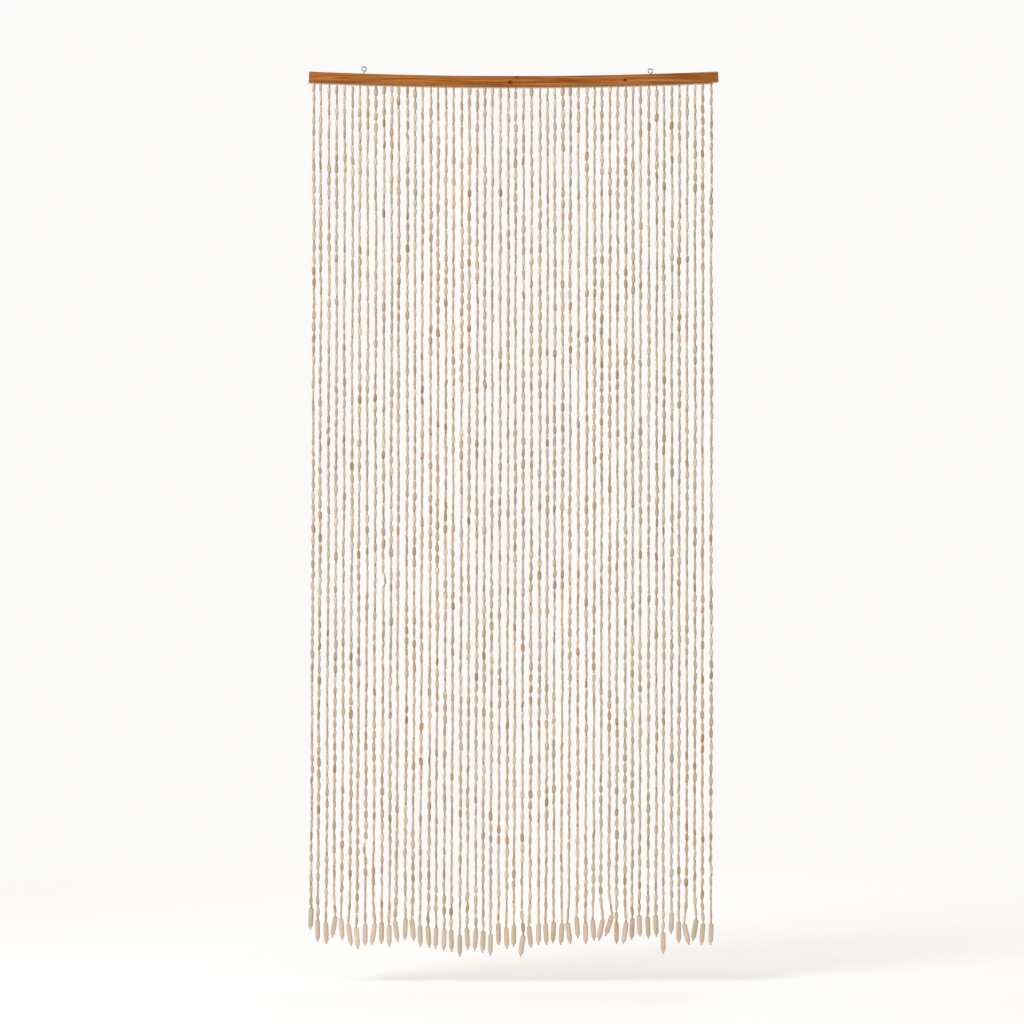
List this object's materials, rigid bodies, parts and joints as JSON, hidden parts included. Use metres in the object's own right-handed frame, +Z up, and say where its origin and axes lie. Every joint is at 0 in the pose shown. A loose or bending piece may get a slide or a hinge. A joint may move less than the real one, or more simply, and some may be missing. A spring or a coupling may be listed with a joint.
{
  "type": "bead curtain with wooden hanging rail",
  "caption": "Door curtain of wooden bead strands with long pendant beads at the hem, tied to a header cord under a slim bowed rail that hangs on screw eyes.",
  "frame": {"origin": "middle of the rail's back face, which lies against the wall or lintel", "axes": "+X to the right seen from the front, +Y out of the rail's back towards the wall, +Z up"},
  "size_m": [0.9035, 0.012, 1.9587],
  "materials": {
    "rail_wood": "orange-brown stained pine under satin varnish",
    "eye_metal": "nickel-plated steel wire",
    "bead_wood": "pale turned wood beads, lightly waxed",
    "pendant_wood": "pale turned wood, fine lengthwise grain"
  },
  "bodies": {
    "root": {"rail": "rail_wood", "eye_left": "eye_metal", "eye_right": "eye_metal", "strands": "bead_wood", "pendant_01": "pendant_wood", "pendant_02": "pendant_wood", "pendant_03": "pendant_wood", "pendant_04": "pendant_wood", "pendant_05": "pendant_wood", "pendant_06": "pendant_wood", "pendant_07": "pendant_wood", "pendant_08": "pendant_wood", "pendant_09": "pendant_wood", "pendant_10": "pendant_wood", "pendant_11": "pendant_wood", "pendant_12": "pendant_wood", "pendant_13": "pendant_wood", "pendant_14": "pendant_wood", "pendant_15": "pendant_wood", "pendant_16": "pendant_wood", "pendant_17": "pendant_wood", "pendant_18": "pendant_wood", "pendant_19": "pendant_wood", "pendant_20": "pendant_wood", "pendant_21": "pendant_wood", "pendant_22": "pendant_wood", "pendant_23": "pendant_wood", "pendant_24": "pendant_wood", "pendant_25": "pendant_wood", "pendant_26": "pendant_wood", "pendant_27": "pendant_wood", "pendant_28": "pendant_wood", "pendant_29": "pendant_wood", "pendant_30": "pendant_wood", "pendant_31": "pendant_wood", "pendant_32": "pendant_wood", "pendant_33": "pendant_wood", "pendant_34": "pendant_wood", "pendant_35": "pendant_wood", "pendant_36": "pendant_wood", "pendant_37": "pendant_wood", "pendant_38": "pendant_wood", "pendant_39": "pendant_wood", "pendant_40": "pendant_wood", "pendant_41": "pendant_wood", "pendant_42": "pendant_wood", "pendant_43": "pendant_wood", "pendant_44": "pendant_wood", "pendant_45": "pendant_wood", "pendant_46": "pendant_wood", "pendant_47": "pendant_wood", "pendant_48": "pendant_wood", "pendant_49": "pendant_wood", "pendant_50": "pendant_wood", "pendant_51": "pendant_wood", "pendant_52": "pendant_wood"}
  },
  "joints": []
}
